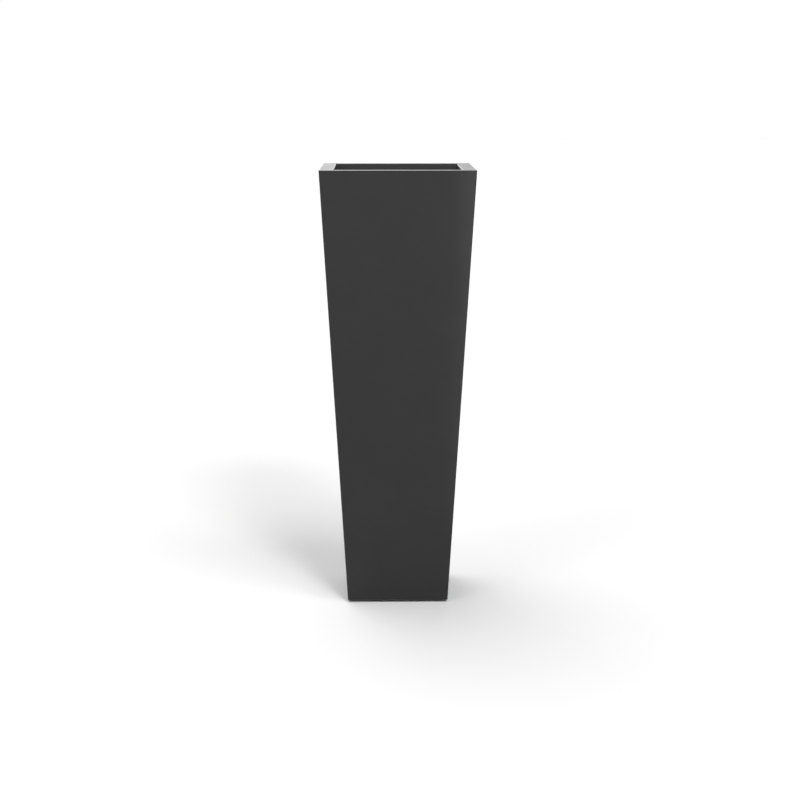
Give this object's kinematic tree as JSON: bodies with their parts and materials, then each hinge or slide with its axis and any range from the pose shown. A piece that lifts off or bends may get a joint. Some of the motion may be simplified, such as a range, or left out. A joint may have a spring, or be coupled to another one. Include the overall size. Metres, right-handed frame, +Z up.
{
  "type": "tall tapered planter",
  "caption": "Tall square floor planter that tapers to its foot, with a flat inturned rim, a lift-out shelf inside, a bonded drain pan with a rubber plug, and rubber foot pads.",
  "frame": {"origin": "on the floor, under the middle of the planter", "axes": "+Z up, along the planter's own axis; -Y is the side that faces the viewer, +X is the viewer's right"},
  "size_m": [0.318, 0.318, 0.915],
  "materials": {
    "gelcoat_charcoal": "matte",
    "laminate_black": "satin",
    "shelf_plastic": "satin",
    "black_rubber": "matte"
  },
  "bodies": {
    "planter": {"shell": "gelcoat_charcoal", "base_pan": "laminate_black", "foot_pad_front_left": "black_rubber", "foot_pad_front_right": "black_rubber", "foot_pad_back_left": "black_rubber", "foot_pad_back_right": "black_rubber"},
    "shelf": {"insert_shelf": "shelf_plastic"},
    "plug": {"drain_plug": "black_rubber"}
  },
  "joints": [
    {"name": "shelf_lift", "type": "slide", "parent": "planter", "child": "shelf", "axis": [0, 0, 1], "range_m": [0, 0.56]},
    {"name": "plug_pull", "type": "slide", "parent": "planter", "child": "plug", "axis": [0, 0, 1], "range_m": [0, 0.06]}
  ]
}
